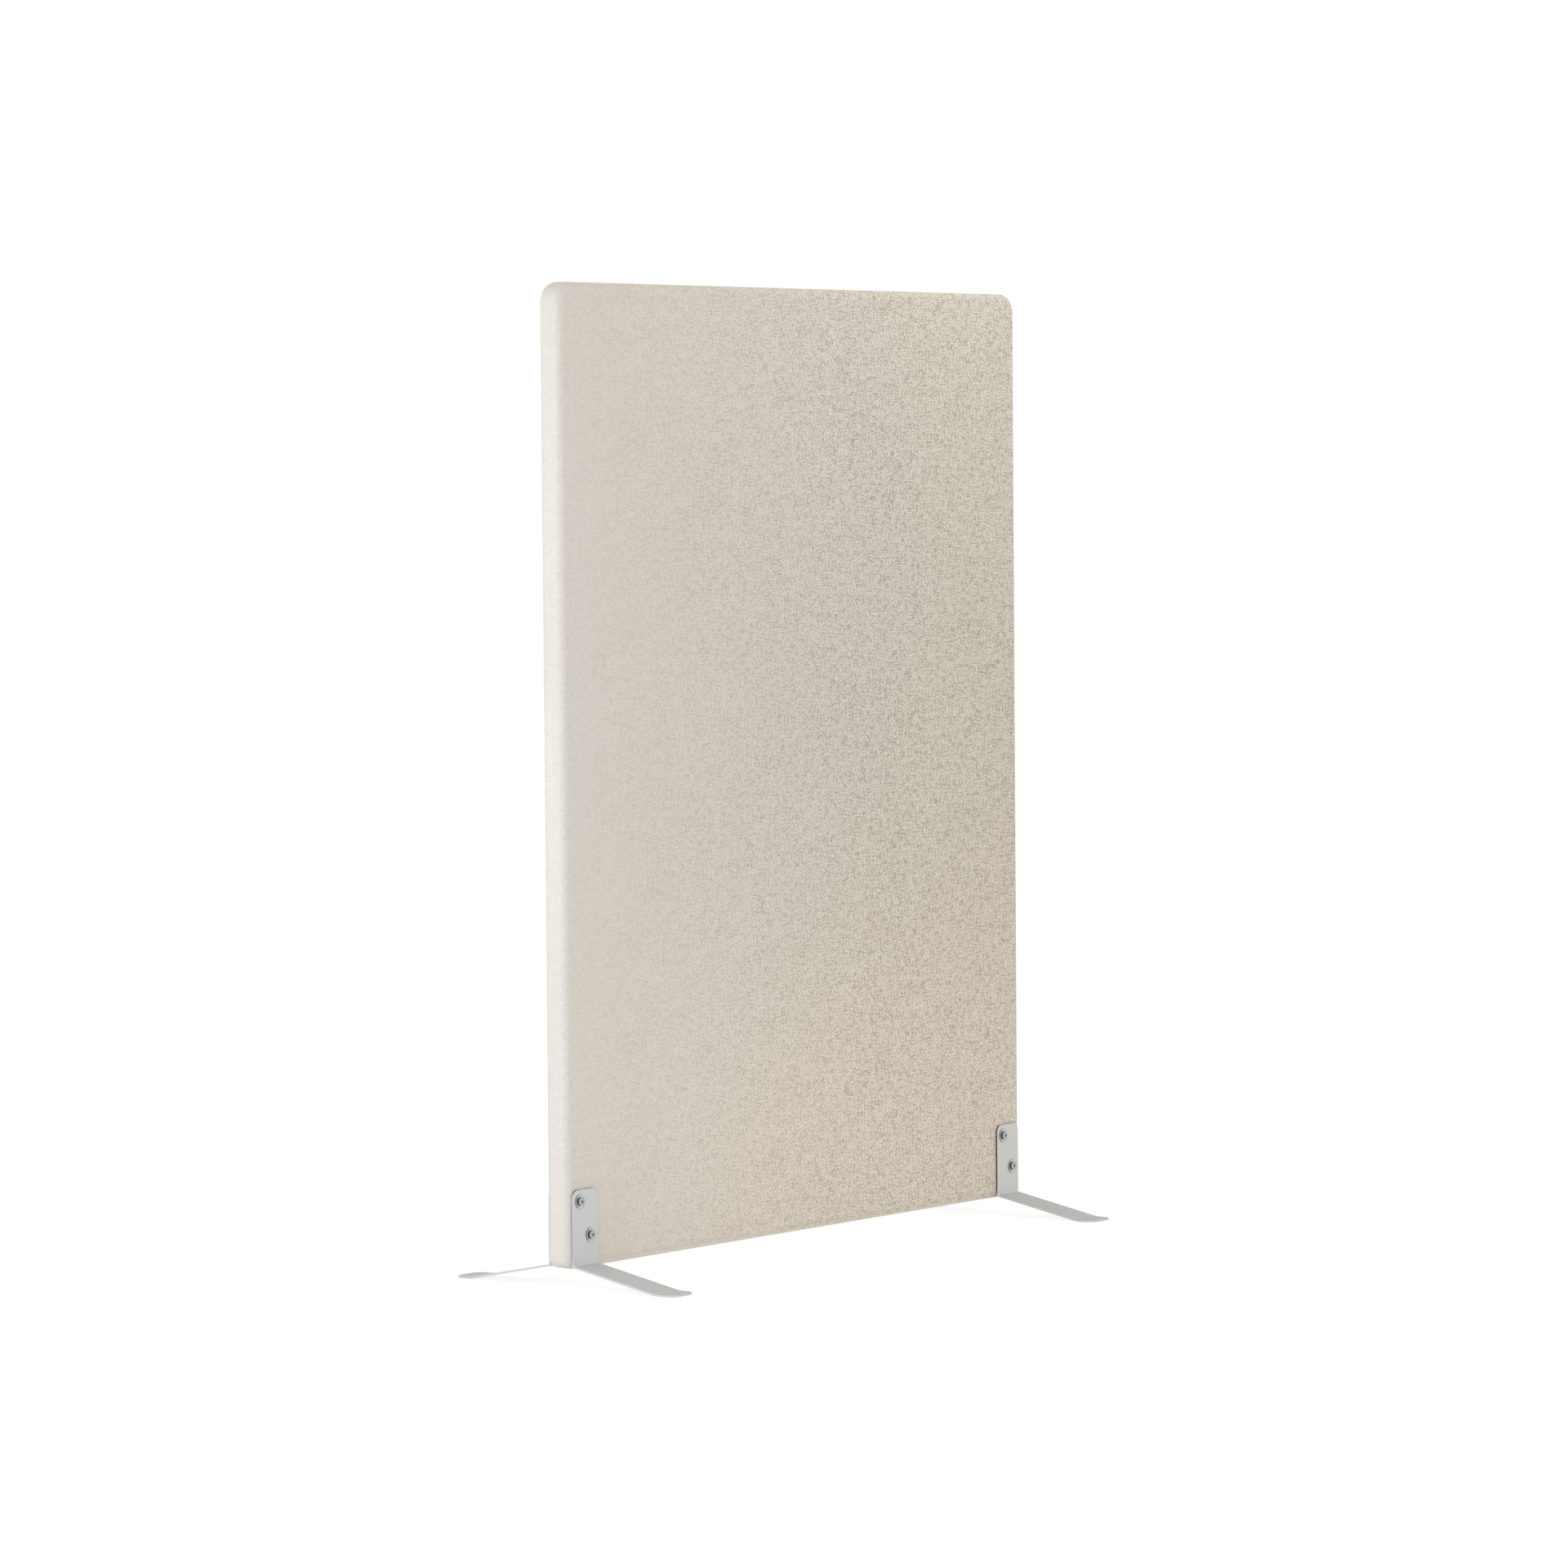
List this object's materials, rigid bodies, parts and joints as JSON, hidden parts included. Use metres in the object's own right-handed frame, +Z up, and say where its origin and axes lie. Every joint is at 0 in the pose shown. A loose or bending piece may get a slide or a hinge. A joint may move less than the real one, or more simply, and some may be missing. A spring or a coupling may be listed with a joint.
{
  "type": "floor screen",
  "caption": "Free-standing fabric-covered acoustic floor screen: upright padded panel with soft edges on bent flat-steel feet screwed to both faces.",
  "frame": {"origin": "on the floor, under the middle of the panel, which is also the middle of the four feet", "axes": "+X along the screen towards its right end as seen from the front, -Y towards the front, +Z up"},
  "size_m": [1.2, 0.43, 1.53],
  "materials": {
    "cover_fabric": "crepe-like plain weave, pale beige, matt",
    "wadding": "white polyester wadding",
    "core_absorber": "pressed absorbing fibre slab",
    "frame_timber": "planed softwood",
    "block_hardwood": "planed hardwood",
    "tenon_beech": "beech",
    "foot_lacquer": "satin silver lacquer on flat steel",
    "screw_steel": "satin",
    "zinc_steel": "zinc plated",
    "strip_plastic": "off-white, matt"
  },
  "bodies": {
    "root": {"top_rail": "frame_timber", "middle_rail": "frame_timber", "bottom_rail": "frame_timber", "left_stile": "frame_timber", "right_stile": "frame_timber", "left_foot_block": "block_hardwood", "right_foot_block": "block_hardwood", "frame_tenons": "tenon_beech", "upper_core": "core_absorber", "lower_core": "core_absorber", "front_wadding": "wadding", "back_wadding": "wadding", "fabric_cover": "cover_fabric", "closing_strip": "strip_plastic", "foot_screws": "screw_steel", "foot_washers": "screw_steel", "threaded_inserts": "zinc_steel", "front_left_foot": "foot_lacquer", "front_right_foot": "foot_lacquer", "back_left_foot": "foot_lacquer", "back_right_foot": "foot_lacquer"}
  },
  "joints": []
}
